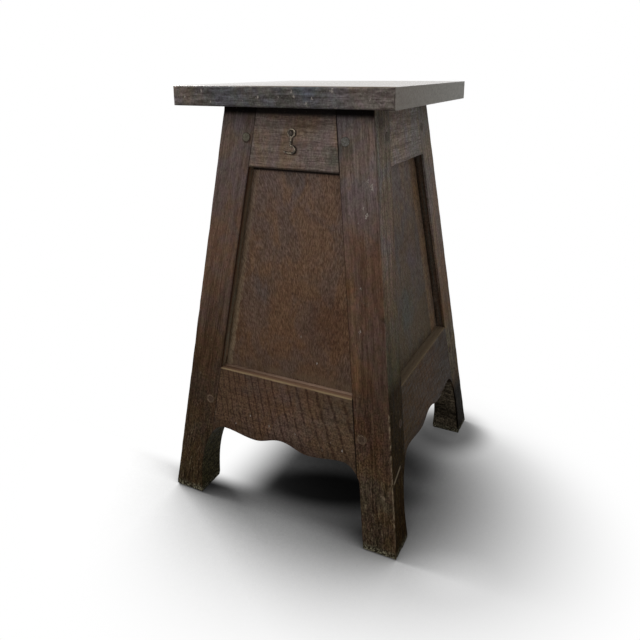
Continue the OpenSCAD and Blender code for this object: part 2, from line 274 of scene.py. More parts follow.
def round_over(piece, radius, steps, wanted):
    """Rounds the sharp edges whose two ends are both wanted."""
    bpy.ops.mesh.select_all(action="DESELECT")
    for edge in bmesh.from_edit_mesh(piece.data).edges:
        sharp = edge.is_manifold and edge.calc_face_angle() > SHARP
        if sharp and all(wanted(end.co) for end in edge.verts):
            edge.select_set(True)
    bmesh.update_edit_mesh(piece.data)
    bpy.ops.mesh.bevel(offset=radius, segments=steps, affect="EDGES", clamp_overlap=True)


def cut_across(axis, first, last, step):
    """Cuts the piece in edit mode into short stretches, so that its long edges can be worn."""
    for number in range(round((last - first) / step) + 1):
        bpy.ops.mesh.select_all(action="SELECT")
        spot, facing = [0, 0, 0], [0, 0, 0]
        spot[axis], facing[axis] = first + step * number, 1
        bpy.ops.mesh.bisect(plane_co=spot, plane_no=facing)


def wear_down(piece, depth, size, wanted):
    """Wears the wanted spots inwards, by up to this depth, in knocks of about this size."""
    bpy.ops.object.mode_set(mode="OBJECT")
    touched = piece.vertex_groups.new(name="touched")
    inside = [vertex.index for vertex in piece.data.vertices if wanted(vertex.co)]
    touched.add(inside, 1.0, "REPLACE")
    knocks = bpy.data.textures.new("knocks", "CLOUDS")
    knocks.noise_scale = size
    knocks.contrast = 1.6
    wear = piece.modifiers.new("wear", "DISPLACE")
    wear.texture, wear.texture_coords, wear.vertex_group = knocks, "LOCAL", "touched"
    wear.mid_level, wear.strength = 1.15, depth
    bpy.ops.object.modifier_apply(modifier="wear")
    piece.vertex_groups.clear()


def fit_in_place(piece, node, finish, body="stand"):
    """Closes the work on a piece, gives it its finish and puts it in its node's stead."""
    if bpy.context.mode == "EDIT_MESH":
        bpy.ops.object.mode_set(mode="OBJECT")
    bpy.ops.object.shade_smooth_by_angle(angle=SMOOTH)
    even = piece.modifiers.new("even", "WEIGHTED_NORMAL")
    even.keep_sharp = True
    bpy.ops.object.modifier_apply(modifier="even")
    piece.data.materials.clear()
    piece.data.materials.append(finish)
    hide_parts(node)
    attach(piece, body)


def tint(code):
    """The linear colour of a six-letter colour code."""
    parts = [int(code[i:i + 2], 16) / 255 for i in (0, 2, 4)]
    return (*[
        part / 12.92 if part <= 0.04045 else ((part + 0.055) / 1.055) ** 2.4 for part in parts], 1)


def blend(under, over, mask):
    """One colour or colour code laid over another where the mask is 1."""
    under, over = [tint(colour) if isinstance(colour, str) else colour for colour in (under, over)]
    return mask.node("Mix", {"data_type": "RGBA"}, {0: mask, 6: under, 7: over}, out=2)


def toned(value, tones):
    """A colour that changes with a measure, from codes at its values in metres."""
    first, last = tones[0][0], tones[-1][0]
    stops = [((at - first) / (last - first), tint(code)) for at, code in tones]
    return value.node("ValToRGB", {"stops": stops}, {0: (value - first) * (1 / (last - first))})


def shaded(colour, low, high, mask):
    """The colour times low where the mask is 0 and high where it is 1: numbers, or threes."""
    low, high = [part if isinstance(part, tuple) else (part,) * 3 for part in (low, high)]
    factor = mask.node("Mix", {"data_type": "VECTOR"}, {0: mask, 4: low, 5: high}, out=1)
    return mask.node("VectorMath", {"operation": "MULTIPLY"}, {0: colour, 1: factor})


def figure(place, across, along, axis, detail=3.0, twist=0.0, seed=0.0):
    """Cloudy figure from 0 to 1, drawn out along the grain's axis: both sizes are in metres."""
    scale = [1 / across] * 3
    scale["xyz".index(axis)] = 1 / along
    drawn = place.node("VectorMath", {"operation": "MULTIPLY_ADD"}, {
        0: place, 1: scale, 2: (seed, seed * 1.7, seed * 2.3)})
    return place.node("TexNoise", sockets={
        "Vector": drawn, "Scale": 1.0, "Detail": detail, "Roughness": 0.6, "Distortion": twist})


def oak_grain(place, axis, seed):
    """Broad bands, streaks, lines and open pores of oak, each from 0 to 1."""
    return (
        rising(figure(place, 0.016, 0.28, axis, 3, 0.3, seed), 0.36, 0.64),
        rising(figure(place, 0.0048, 0.085, axis, 3, 0.3, seed + 2), 0.38, 0.66),
        rising(figure(place, 0.0022, 0.030, axis, 2, 0.0, seed + 4), 0.36, 0.68),
        rising(figure(place, 0.0010, 0.009, axis, 1, 0.0, seed + 6), 0.58, 0.68),
    )


def grained(colour, place, grain, seed, strength=1.0):
    """The colour with the grain in it, and with the cloudy hues of an old stain."""
    bands, streaks, lines, pores = grain
    evened = 0.5 - 0.5 * strength
    relief = bands * (0.2 * strength) + streaks * (0.35 * strength) + lines * (0.45 * strength)
    colour = shaded(colour, (0.50, 0.44, 0.40), (1.52, 1.52, 1.54), relief + evened)
    hue = rising(figure(place, 0.045, 0.065, "z", 3, 0.6, seed), 0.38, 0.62)
    colour = shaded(colour, (1.07, 1.00, 0.90), (0.94, 0.99, 1.10), hue)
    hue = rising(figure(place, 0.010, 0.014, "z", 2, 0.3, seed + 2), 0.38, 0.62)
    colour = shaded(colour, (1.04, 0.98, 1.03), (0.97, 1.03, 0.95), hue * strength + evened)
    return blend(colour, "1c130d", pores * 0.45)


def band(value, low, high, soft):
    """1 where the value is between low and high, with soft slopes outside."""
    return rising(value, low - soft, low) * (1 - rising(value, high, high + soft))


def gap_to(place, spot):
    """The distance from a spot."""
    return place.node("VectorMath", {"operation": "DISTANCE"}, {0: place, 1: spot}, out=1)


def round_patch(place, spot, radius, core):
    """1 in a round patch at a spot, 0 past its radius, soft outside its core."""
    return 1 - rising(gap_to(place, spot), radius * core, radius)


def blot(place, spot, size):
    """1 in the middle of an uneven stain at a spot, and 0 around it."""
    uneven = figure(place, size * 0.4, size * 0.6, "z", 3, 0.0, 7.0)
    return 1 - rising(gap_to(place, spot) + (uneven - 0.5) * size * 1.4, size * 0.2, size)


def splashed(colour, place, face, splashes, amount=0.75):
    """The colour with small ragged chips and splashes on a face: across, height and size."""
    ragged = figure(place, 0.0014, 0.0030, "z", 2, 0.0, 3.0) - 0.5
    tall = place.node("VectorMath", {"operation": "MULTIPLY"}, {0: place, 1: (1, 1, 0.7)})
    for across, height, size in splashes:
        east, north, up = face(across, height)
        gap = gap_to(tall, (east, north, up * 0.7))
        chip = 1 - rising(gap + ragged * (size * 3.6), size * 0.1, size * 0.5)
        colour = blend(colour, "948c84", chip * amount)
    return colour


def gritty(colour, place, amount):
    """The colour with the grit and wear of the low parts, as strong as the amount."""
    grit = rising(figure(place, 0.0024, 0.0034, "z", 2, 0.0, 17.0), 0.36, 0.64)
    return shaded(colour, (0.58, 0.56, 0.52), (1.50, 1.50, 1.46), (grit - 0.5) * amount + 0.45)


def dusted(colour, place, amount):
    """The colour with rare pale specks of dust and old splashes."""
    dust = rising(figure(place, 0.0030, 0.0040, "z", 1, 0.0, 19.0), 0.71, 0.79)
    return blend(colour, "8a7d70", dust * amount)


def waxed(colour, height, roughness, polish=0.03, coat=None):
    """Ends a finish as stained and waxed wood, with its grain felt under the hand."""
    felt = height.node("Bump", sockets={"Strength": 0.7, "Distance": 0.0006, "Height": height})
    skin = {
        "Base Color": colour, "Roughness": roughness, "Specular IOR Level": polish, "Normal": felt}
    if coat is not None:
        skin.update({"Coat Weight": coat, "Coat Roughness": 0.10})
    height.node("OutputMaterial", sockets={0: height.node("BsdfPrincipled", sockets=skin)})


# Dark joint lines, and the painted shadow under the board
JOINT_SHADE, UNDER_BOARD_SHADOW = "0c0502", "050303"
# Tones by height: of the front faces, and of the right legs' side faces, which are paler as painted
# light on the side away from the lamp, with painted shade in their dark lower parts. The left legs'
# side faces take the left front's, darker as painted shade, because the lamp stands on that side
LEFT_TONES = (
    (0, "31281b"), (0.18, "362b22"), (0.25, "3d3026"), (0.45, "55443b"), (0.62, "574d4a"))
RIGHT_TONES = (
    (0, "373126"), (0.04, "3d3126"), (0.10, "40362a"), (0.18, "3f2f25"), (0.25, "423329"),
    (0.32, "4c3c33"), (0.47, "56443b"), (0.60, "675d5b"))
NEAR_SIDE_TONES = (
    (0, "322816"), (0.03, "291d0d"), (0.10, "2f2312"), (0.18, "291e0c"), (0.255, "2b2113"),
    (0.278, "514c3c"), (0.32, "645b4b"), (0.47, "887972"), (0.60, "89827b"))
FAR_SIDE_TONES = (
    (0, "0c0804"), (0.10, "0f0b06"), (0.13, "544736"), (0.185, "6a6151"), (0.235, "736959"),
    (0.28, "776250"), (0.47, "8a7b72"), (0.60, "89827b"))
leg_finish, place, (x, y, z) = new_finish("leg_oak")
# The place with the splay taken out, so that the grain runs along the post
upright = place.node("CombineXYZ", sockets={
    0: x + x.maths("SIGN") * z * LEAN_X, 1: y + y.maths("SIGN") * z * LEAN_Y, 2: z})
behind_front, behind_side = behind(x, y, z)
depth = behind_front.maths("MINIMUM", behind_side)
right, back = rising(x, -0.02, 0.02), rising(y, -0.02, 0.02)
side_face = rising(behind_front - behind_side, -0.0012, 0.0012)
front_face = 1 - side_face
grain = oak_grain(upright, "z", 1.0)
_, streaks, lines, pores = grain
left_colour = toned(z, LEFT_TONES)
# Side faces: painted light and painted shade on the right legs, painted shade on the left legs
right_side = blend(toned(z, NEAR_SIDE_TONES), toned(z, FAR_SIDE_TONES), back)
side_colour = shaded(blend(left_colour, right_side, right), (0.52, 0.49, 0.46), 1.0, right)
colour = blend(blend(left_colour, toned(z, RIGHT_TONES), right), side_colour, side_face)
# A strip beside the near panel that the sun has left orange
beside_panel = band(behind_side, 0.049, 0.062, 0.006) * front_face * right
strip = beside_panel * rising(z, 0.23, 0.27) * (1 - rising(z, 0.40, 0.54))
colour = blend(colour, "614a38", strip * 0.5)
for code, spot, size, amount in (
        ("3a3e38", on_front(0.088, 0.612), 0.020, 0.55),
        ("5c4c40", on_front(0.1467, 0.1576), 0.009, 0.6),
        ("6a5c4e", on_front(0.1836, 0.0969), 0.006, 0.6),
        ("2f2f36", on_side(-0.102, 0.650), 0.022, 0.5)):
    colour = blend(colour, code, blot(place, spot, size) * amount)
colour = grained(colour, place, grain, 15.0, 0.95 - front_face * rising(z, 0.30, 0.50) * 0.25)
# Checks and scratches in the feet and low down on the sides
footed = 1 - rising(z, 0.10 + side_face * 0.12, 0.15 + side_face * 0.12)
checks = rising(figure(upright, 0.0022, 0.022, "z", 3, 0.5, 12.0), 0.54, 0.64) * footed
scratches = rising(figure(upright, 0.0026, 0.016, "z", 2, 1.0, 13.0), 0.58, 0.68) * footed
colour = blend(colour, "150e07", checks * (0.7 + side_face * 0.2))
scratch_colour = blend("6d6250", "574b33", side_face)
colour = blend(colour, scratch_colour, scratches * (0.45 + side_face * (0.35 - back * 0.55)))
# Walls of the grooves, of the recesses and of the arches took little stain and keep the dust;
# deep in, their paler colour is partly painted light
wall = blend("604634", "9c8e7c", rising(depth, 0.001, 0.010))
wall = shaded(wall, (1.10, 0.88, 0.76), (0.92, 1.08, 1.12), lines)
# Painted light on the left legs' walls and painted shade on the right legs' walls
wall = shaded(wall, 1.24, (0.43, 0.43, 0.47), right)
mould = rising(figure(place, 0.012, 0.0040, "z", 3, 0.4, 14.0), 0.34, 0.66)
arch = shaded(blend("2d2720", "554d41", mould), (0.80, 0.85, 0.62), 0.80, right)
# Painted light on the right legs' arches, up high and at the sole
arch = shaded(arch, 1.0, 2.6, rising(z, 0.045, 0.085) * right)
arch = shaded(arch, 1.0, 1.7, (1 - rising(z, 0.022, 0.032)) * right)
wall = blend(wall, arch, 1 - rising(z, 0.12, 0.16))
arris_wide = right * side_face * 0.0020
colour = blend(colour, wall, rising(depth - arris_wide, 0.0008, 0.0022))
# The dirty rim round each sole, with pale chips in it
chipped = rising(figure(place, 0.0034, 0.0030, "z", 3, 0.0, 16.0), 0.44, 0.60)
rim = 1 - rising(z + chipped * 0.003, 0.008, 0.018)
colour = blend(colour, blend("15130b", "7c7866", chipped), rim * 0.65)
low = 1 - rising(z, 0.12, 0.30)
colour = gritty(colour, place, 0.25 + low * 0.65 + side_face * 0.30)
# Painted shadow under the board's overhang, on the front and back faces
colour = blend(colour, UNDER_BOARD_SHADOW, rising(z, 0.6520, 0.6605) * front_face * 0.96)
# Rubbed and broken arrises, dark joints
arris = 1 - rising(behind_front.maths("MAXIMUM", behind_side), 0.0006, 0.0034)
worn = rising(figure(place, 0.02, 0.03, "z", 4, 0.0, 11.0), 0.45, 0.65)
colour = blend(colour, "6d5b49", arris * worn * (0.20 + low * 0.35))
broken = rising(figure(place, 0.004, 0.012, "z", 2, 0.0, 18.0), 0.46, 0.58)
colour = blend(colour, "83745f", arris * right * broken * band(z, 0.05, 0.228, 0.010) * 0.75)
dark_arris = (1 - rising(behind_side, 0.0008, 0.0028)) * front_face * right
colour = blend(colour, "2a211c", dark_arris * rising(z, 0.40, 0.50) * 0.6)
at_front_joint = rising(behind_side, LEG_X - 0.0018, LEG_X - 0.0009) * front_face
at_side_joint = rising(behind_front, LEG_Y - 0.0012, LEG_Y - 0.0004) * side_face
by_panel = band(z, 0.246, 0.572, 0.006)
joint_shade = at_front_joint * (0.45 + right * (0.38 - by_panel * 0.28)) + at_side_joint * 0.30
colour = blend(colour, JOINT_SHADE, joint_shade)
# Splashes, a gouge by the near arris, rings of dust round the low pegs, shade by the high ones
colour = splashed(colour, place, on_front, (
    (0.1238, 0.5694, 0.0030), (0.1301, 0.5611, 0.0040), (0.1296, 0.5640, 0.0030),
    (0.1194, 0.5308, 0.0028), (0.1245, 0.5195, 0.0046), (0.1262, 0.5215, 0.0036),
    (0.1128, 0.5084, 0.0024), (0.1234, 0.4144, 0.0022), (0.1271, 0.3491, 0.0030)))
colour = splashed(colour, place, on_side, ((-0.080, 0.581, 0.0038),), 0.8)
from_arris, up = y + 0.177, z - 0.1266
stroke = from_arris * 0.944 + up * 0.33
off_stroke = abs(up * 0.944 - from_arris * 0.33) + (worn - 0.5) * 0.0016
gouge = band(stroke, -0.014, 0.014, 0.005) * (1 - rising(off_stroke, 0.0006, 0.0024))
colour = blend(colour, "8a7c68", gouge * side_face * right * 0.85)
mirror = place.node("CombineXYZ", sockets={0: abs(x), 1: y, 2: z})
peg_across = front_joint(FRONT_PEGS[0]) + PEG_IN
ring = round_patch(mirror, on_front(peg_across, FRONT_PEGS[0]), 0.0086, 0.88)
colour = blend(colour, "7e6c5a", ring * front_face * (0.1 + worn * 0.6))
peg_across = -side_joint(SIDE_PEGS[0]) - PEG_IN
side_ring = round_patch(mirror, on_side(peg_across, SIDE_PEGS[0]), 0.0086, 0.88)
colour = blend(colour, "5e5240", side_ring * side_face * (0.1 + worn * 0.3))
peg_across = front_joint(FRONT_PEGS[1]) + PEG_IN
shade = round_patch(mirror, on_front(peg_across - 0.0012, FRONT_PEGS[1] - 0.0014), 0.0088, 0.8)
colour = blend(colour, "1c130d", shade * front_face * (0.55 - right * 0.45))
colour = dusted(colour, place, 0.22)
felt = streaks * 0.4 + lines * 0.4 - pores * 0.5 - checks + scratches * 0.5
waxed(colour, felt, 0.45 + lines * 0.2, polish=0.008)

for corner in ("front_left", "front_right", "back_left", "back_right"):
    post = worn_copy("leg_" + corner, "post_" + corner)
    for vertex in bmesh.from_edit_mesh(post.data).verts:
        spot = vertex.co
        behind_y, behind_x = behind(*spot)
        if corner == "front_right" and spot.z < 0.118 and behind_x > 0.04:
            spot.x = min(spot.x, FEET_X - LEAN_X * spot.z - FOOT_WIDE)
        if corner == "front_left" and spot.z < 0.125 and behind_y > 0.04:
            spot.y = max(spot.y, FOOT_DEEP + LEAN_Y * spot.z - FEET_Y)
    round_over(post, ARRIS_ROUND, 3, lambda spot: (
        max(behind(*spot)) < ON_FACE and spot.z < LEG_TOP - 0.0005))
    round_over(post, SOLE_ROUND, 3, lambda spot: spot.z < 1e-5)
    round_over(post, SAWN_ROUND, 2, lambda spot: (
        min(behind(*spot)) < ON_FACE and max(behind(*spot)) > 0.004
        and 0.005 < spot.z and not near_peg(spot)))
    cut_across(0, *((0.158, 0.208) if "right" in corner else (-0.208, -0.158)), 0.007)
    cut_across(1, *((0.161, 0.211) if "back" in corner else (-0.211, -0.161)), 0.007)
    cut_across(2, 0.009, 0.660, 0.0155)
    wear_down(post, 0.0009, 0.014, lambda spot: (
        0.0045 < spot.z < LEG_TOP - 0.002 and max(behind(*spot)) < 0.0024))
    bpy.ops.object.mode_set(mode="EDIT")
    wear_down(post, 0.0016, 0.007, lambda spot: 0.00001 < spot.z < 0.0045)
    fit_in_place(post, "leg_" + corner, leg_finish)


# Bottom rails: 30 mm oak boards with a sawn wave along the lower edge, tenoned and pegged into
# the legs. The panel stands in a groove in the ledge, whose front arris is rubbed pale. Quartered
# boards, so that dark rays run down across the grain.
LEDGES = {"front": 0.242, "right": 0.250}
LIKE = {"front": "front", "back": "front", "left": "right", "right": "right"}
LIP_ROUND, WAVE_ROUND, END_ROUND = 0.0016, 0.0010, 0.0003
RAYS_PER_METRE, RAYS_WIDEN, RAYS_FROM = 66, 115, 5.75


def bottom_rail_oak(name, axis, ledge):
    finish, place, (x, y, z) = new_finish(name)
    on_ends = axis == "x"
    along = x if on_ends else y
    into = behind(x, y, z)[0 if on_ends else 1]
    joint = front_joint(z) if on_ends else side_joint(z)
    grain = oak_grain(place, axis, 21.0)
    _, _, lines, pores = grain
    if on_ends:
        colour = toned(x, ((-0.14, "43362c"), (0, "4f3e34"), (0.14, "483d32")))
    else:
        colour = toned(y, ((-0.12, "3f301b"), (0, "453322"), (0.12, "302417")))
    colour = grained(colour, place, grain, 25.0, 0.5 if on_ends else 0.8)
    # Dark rays that lean, and shorter ones between some of them
    slant = along + (along + 0.3) * (z - 0.20)
    wobble = figure(place, 0.018, 0.026, "z", 2, 0.0, 27.0)
    count = RAYS_FROM + slant * RAYS_PER_METRE - slant * slant * RAYS_WIDEN + (wobble - 0.5) * 0.5
    broken = rising(figure(place, 0.012, 0.014, "z", 2, 0.0, 29.0), 0.26, 0.56)
    rays = (1 - rising(count.maths("PINGPONG", 0.5), 0.05, 0.17)) * broken
    some = rising(figure(place, 0.012, 0.020, "z", 2, 0.0, 31.0), 0.50, 0.60)
    half_rays = (1 - rising((count + 0.42).maths("PINGPONG", 0.5), 0.03, 0.12)) * some
    ray_shade = (rays * 0.58).maths("MAXIMUM", half_rays * 0.35)
    colour = blend(colour, "1c0a04", ray_shade * (1.0 if on_ends else 0.6))
    colour = gritty(colour, place, 0.85 - rising(z, 0.15, 0.24) * 0.35)
    colour = blend(colour, "1d120a", (1 - rising(z, 0.143, 0.152)) * 0.35)
    # The ledge: pale dust at the back, partly painted light, a dark middle and a pale front arris
    dust = rising(into, 0.0090, 0.0120)
    ledge_colour = blend("745a48", "b09480", dust) if on_ends else blend("7a6a57", "8a7a66", dust)
    colour = blend(colour, ledge_colour, rising(z, ledge - 0.0010, ledge - 0.0003))
    lip = rising(z, ledge - 0.0026, ledge - 0.0010) * (1 - rising(into, 0.0014, 0.0040))
    uneven = rising(figure(place, 0.010, 0.06, axis, 3, 0.0, 33.0), 0.30, 0.60)
    colour = blend(colour, "7c6a50", lip * (0.25 + uneven * 0.7) * (1.0 if on_ends else 0.5))
    at_joint = rising(abs(along) - joint, -0.0012, -0.0004)
    colour = blend(colour, JOINT_SHADE, at_joint * (0.5 + rising(along, 0.0, 0.05) * 0.45))
    if on_ends:
        colour = splashed(colour, place, on_front, (
            (0.0773, 0.1460, 0.0026), (-0.0230, 0.1610, 0.0024), (0.1100, 0.1540, 0.0026),
            (-0.0880, 0.1500, 0.0020), (0.0900, 0.1620, 0.0018), (-0.0600, 0.1700, 0.0016),
            (0.0260, 0.1600, 0.0016)))
        colour = blend(colour, "41413a", blot(place, on_front(-0.139, 0.162), 0.010) * 0.6)
    colour = dusted(colour, place, 0.22)
    waxed(colour, rays * -0.4 + lines * 0.4 - pores * 0.5, 0.45 + lines * 0.2)
    return finish


bottom_rail_finishes = {
    "front": bottom_rail_oak("bottom_rail_oak", "x", LEDGES["front"]),
    "right": bottom_rail_oak("side_bottom_rail_oak", "y", LEDGES["right"]),
}
for side, like in LIKE.items():
    ledge, face = LEDGES[like], 0 if like == "front" else 1
    rail = worn_copy("bottom_rail_" + side, "apron_" + side)
    round_over(rail, LIP_ROUND, 3, lambda spot: (
        behind(*spot)[face] < ON_FACE and abs(spot.z - ledge) < ON_FACE))
    round_over(rail, WAVE_ROUND, 2, lambda spot: behind(*spot)[face] < ON_FACE and spot.z < 0.16)
    round_over(rail, END_ROUND, 1, lambda spot: (
        behind(*spot)[face] < ON_FACE and 0.13 < spot.z < ledge - 0.001))
    fit_in_place(rail, "bottom_rail_" + side, bottom_rail_finishes[like])


# Panels: thin quartered oak boards that stand loose in the grooves of the legs and rails. They
# were never moved since they were stained, so dust has settled along their edges.
HEADS = {"front": 0.577, "right": 0.583}
SUNK = 0.0165


def on_panel(across, height):
    """The spot on the front panel."""
    return on_front(across, height, SUNK)


def panel_oak(name, axis, head):
    finish, place, (x, y, z) = new_finish(name)
    on_ends = axis == "x"
    along = x if on_ends else y
    joint = front_joint(z) if on_ends else side_joint(z)
    # Quartered figure: upright ticks, which lean over on the left
    leaning = 1 - rising(along, -0.12, 0.10)
    lie = place.node("CombineXYZ", sockets={
        0: x + (z - 0.35) * leaning * 0.30 if on_ends else x, 1: y, 2: z})
    grain = oak_grain(lie, "z", 41.0)
    _, _, lines, pores = grain
    ticks = rising(figure(lie, 0.0014, 0.0080, "z", 2, 0.0, 47.0), 0.36, 0.64)
    if on_ends:
        colour = toned(z, ((0.24, "4a3c32"), (0.30, "524033"), (0.45, "5a493d"), (0.58, "5d4e46")))
        colour = blend(colour, "444140", blot(place, on_panel(-0.050, 0.385), 0.034) * 0.35)
        colour = blend(colour, "444140", blot(place, on_panel(-0.005, 0.568), 0.036) * 0.50)
        colour = blend(colour, "412e25", blot(place, on_panel(0.068, 0.345), 0.060) * 0.50)
    else:
        # Painted light: pale tones for the right side, away from the lamp; the left side is
        # darkened below, on the lamp's side
        colour = toned(z, (
            (0.24, "5b5447"), (0.31, "5f574c"), (0.37, "6b6157"), (0.45, "6d635b"),
            (0.58, "847870")))
        colour = blend(colour, "575c54", blot(place, on_side(-0.02, 0.34, SUNK), 0.050) * 0.60)
        colour = blend(colour, "6d6474", blot(place, on_side(0.02, 0.42, SUNK), 0.040) * 0.30)
        colour = blend(colour, "7f6d5a", rising(along - joint, -0.036, -0.028))
        colour = shaded(colour, (0.32, 0.28, 0.25), 1.0, rising(x, -0.02, 0.02))
    boldness = 1.25 - rising(z, 0.28, 0.56) * (0.40 if on_ends else 0.0)
    colour = shaded(colour, (0.68, 0.62, 0.58), 1.30, (ticks - 0.5) * boldness + 0.5)
    colour = grained(colour, place, grain, 45.0, 0.35 if on_ends else 0.6)
    # Dust along the left and lower edges, and shade lines at the right and under the top rail
    if on_ends:
        ragged = (figure(place, 0.006, 0.009, "z", 3, 0.0, 48.0) - 0.5) * 0.012
        dust = rising(joint + along + ragged, 0.0125, 0.0080)
        dust = dust * (0.75 - rising(z, 0.26, 0.50) * 0.40) * (0.4 + ticks * 0.6)
        colour = blend(colour, "7d6e59", dust)
        colour = blend(colour, "2a180e", rising(along - joint, -0.0034, -0.0012) * 0.6)
    patchy = rising(figure(place, 0.03, 0.02, "z", 3, 0.0, 49.0), 0.35, 0.60)
    colour = blend(colour, "5c4c3c", (1 - rising(z, 0.246, 0.262)) * patchy * 0.5)
    colour = blend(colour, "0c0604", rising(z, head - 0.0072, head - 0.0046) * 0.92)
    colour = splashed(colour, place, on_panel, (
        (0.050, 0.277, 0.0024), (-0.070, 0.300, 0.0018), (0.020, 0.315, 0.0016)))
    colour = dusted(colour, place, 0.16)
    waxed(colour, ticks * 0.5 + lines * 0.4 - pores * 0.5, 0.45 + lines * 0.2)
    return finish


panel_finishes = {
    "front": panel_oak("panel_oak", "x", HEADS["front"]),
    "right": panel_oak("side_panel_oak", "y", HEADS["right"]),
}
for side, like in LIKE.items():
    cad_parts["panel_" + side].material_slots[0].material = panel_finishes[like]


# Top rails: plain oak boards between the legs under the top, tenoned and pegged like the bottom
# ones. They are hidden from wear, and are greyish and blotched.
HEAD_ROUND = 0.0010
HOOK_BOW_MIDDLE = on_front(-0.0016, 0.6072)


def top_rail_oak(name, axis):
    finish, place, (x, y, z) = new_finish(name)
    on_ends = axis == "x"
    along = x if on_ends else y
    joint = front_joint(z) if on_ends else side_joint(z)
    grain = oak_grain(place, axis, 61.0)
    _, streaks, lines, pores = grain
    flecks = rising(figure(place, 0.0035, 0.008, "z", 2, 1.0, 67.0), 0.42, 0.64)
    if on_ends:
        colour = toned(x, ((-0.08, "675b52"), (0.02, "695c54"), (0.08, "776960")))
        colour = blend(colour, "4c4e42", blot(place, on_front(0.070, 0.600), 0.024) * 0.65)
        colour = shaded(colour, (0.78, 0.75, 0.73), 1.11, flecks)
    else:
        # Pale tones, painted light for the right side, away from the lamp; the left side's rail is
        # darkened below, on the lamp's side
        colour = toned(y, ((-0.10, "a89d90"), (-0.03, "9f9490"), (0.10, "979283")))
        colour = shaded(colour, (0.68, 0.64, 0.61), 1.18, flecks)
        colour = shaded(colour, (0.18, 0.16, 0.145), 1.0, rising(x, -0.02, 0.02))
    colour = grained(colour, place, grain, 65.0, 0.7 if on_ends else 1.0)
    # A painted shade line along the rail's lower edge, darker on the front and back rails
    head_edge = 1 - rising(z, 0.5785, 0.5805)
    colour = blend(colour, "140c06", head_edge * (0.75 if on_ends else 0.3))
    at_joint = rising(abs(along) - joint, -0.0012, -0.0003)
    colour = blend(colour, "150c08", at_joint * (0.55 + rising(along, 0.0, 0.05) * 0.40))
    if on_ends:
        # Where the hook's bow has rubbed the rail, and the hook's painted shadow below and right of
        # its bow
        from_bow = gap_to(place, HOOK_BOW_MIDDLE)
        rubbed = band(from_bow, 0.0105, 0.0118, 0.0012) * streaks
        colour = blend(colour, "6b6055", rubbed * 0.5)
        hook_shadow_side = rising((x - HOOK_BOW_MIDDLE[0]) - (z - HOOK_BOW_MIDDLE[2]), -0.003, 0.005)
        colour = blend(colour, "140d09", band(from_bow, 0.0056, 0.0078, 0.0012) * hook_shadow_side * 0.55)
        # Painted shadow under the board's overhang
        colour = blend(colour, UNDER_BOARD_SHADOW, rising(z, 0.6520, 0.6605) * 0.96)
    colour = dusted(colour, place, 0.22)
    waxed(colour, flecks * 0.4 + lines * 0.4 - pores * 0.5, 0.45 + lines * 0.2)
    return finish


top_rail_finishes = {
    "front": top_rail_oak("top_rail_oak", "x"),
    "right": top_rail_oak("side_top_rail_oak", "y"),
}
for side, like in LIKE.items():
    head, face = HEADS[like], 0 if like == "front" else 1
    rail = worn_copy("top_rail_" + side, "frieze_" + side)
    round_over(rail, HEAD_ROUND, 2, lambda spot: (
        behind(*spot)[face] < ON_FACE and abs(spot.z - head) < ON_FACE))
    round_over(rail, END_ROUND, 1, lambda spot: (
        behind(*spot)[face] < ON_FACE and head + 0.0005 < spot.z < LEG_TOP + 0.0005
        and not (abs(spot.x) < 0.05 and face == 0)))
    fit_in_place(rail, "top_rail_" + side, top_rail_finishes[like])


# Pegs: round oak pins driven through each joint, sixteen in all, cut off a hair proud of the face
# and rounded by hand. Their end grain took the stain differently.
PEG_RADIUS, PEG_LENGTH = 0.0068, 0.032
# Each step of the rounded end: how far in, and how far up
PEG_END = ((0.0007, 0.0005), (0.0016, 0.0002), (0.0022, 0))
peg_finish, place, (x, y, z) = new_finish("peg_oak")
rim = place.node("Attribute", {"attribute_name": "rim"}, out=2)
ends = rising(figure(place, 0.0016, 0.0016, "z", 3, 0.0, 81.0), 0.36, 0.64)
high, right = rising(z, 0.3, 0.5), rising(x, -0.02, 0.02)
# The right side's upper pegs are paler, as painted light on the side away from the lamp
high_on_side = rising(x, 0.100, 0.125) * high
upper_colour = blend(blend("5a564b", "5f5d59", right), "6e665e", high_on_side)
colour = blend("40332a", upper_colour, high)
colour = blend(colour, "7a6856", band(rim, 0.80, 0.93, 0.08) * (1 - high) * 0.35)
colour = shaded(colour, (0.66, 0.63, 0.58), 1.28, ends)
# Pegs in the left side are darkened as painted shade, because the lamp stands on that side
from_left_face = FEET_X - LEAN_X * z + x
colour = shaded(colour, (0.50, 0.44, 0.38), 1.0, rising(from_left_face, 0.010, 0.030))
rim_shade = 0.9 - right * high * 0.6 - high_on_side * 0.1
colour = blend(colour, "100804", rising(rim, 0.965, 1.0) * rim_shade)
waxed(colour, ends, 0.5 + ends * 0.2)

bpy.ops.object.select_all(action="DESELECT")
bpy.ops.mesh.primitive_cylinder_add(
    vertices=24, radius=PEG_RADIUS, depth=PEG_LENGTH, location=(0, 0, -PEG_LENGTH / 2))
peg = bpy.context.object
bpy.ops.object.transform_apply()
bpy.ops.object.mode_set(mode="EDIT")
bpy.ops.mesh.select_all(action="DESELECT")
for cap in bmesh.from_edit_mesh(peg.data).faces:
    cap.select_set(cap.normal.z > 0.9)
bmesh.update_edit_mesh(peg.data)
for inwards, up in PEG_END:
    bpy.ops.mesh.inset(thickness=inwards)
    bpy.ops.transform.translate(value=(0, 0, up))
bpy.ops.object.mode_set(mode="OBJECT")
edge_of_peg = peg.data.attributes.new("rim", "FLOAT", "POINT")
for vertex in peg.data.vertices:
    edge_of_peg.data[vertex.index].value = math.hypot(vertex.co.x, vertex.co.y) / PEG_RADIUS

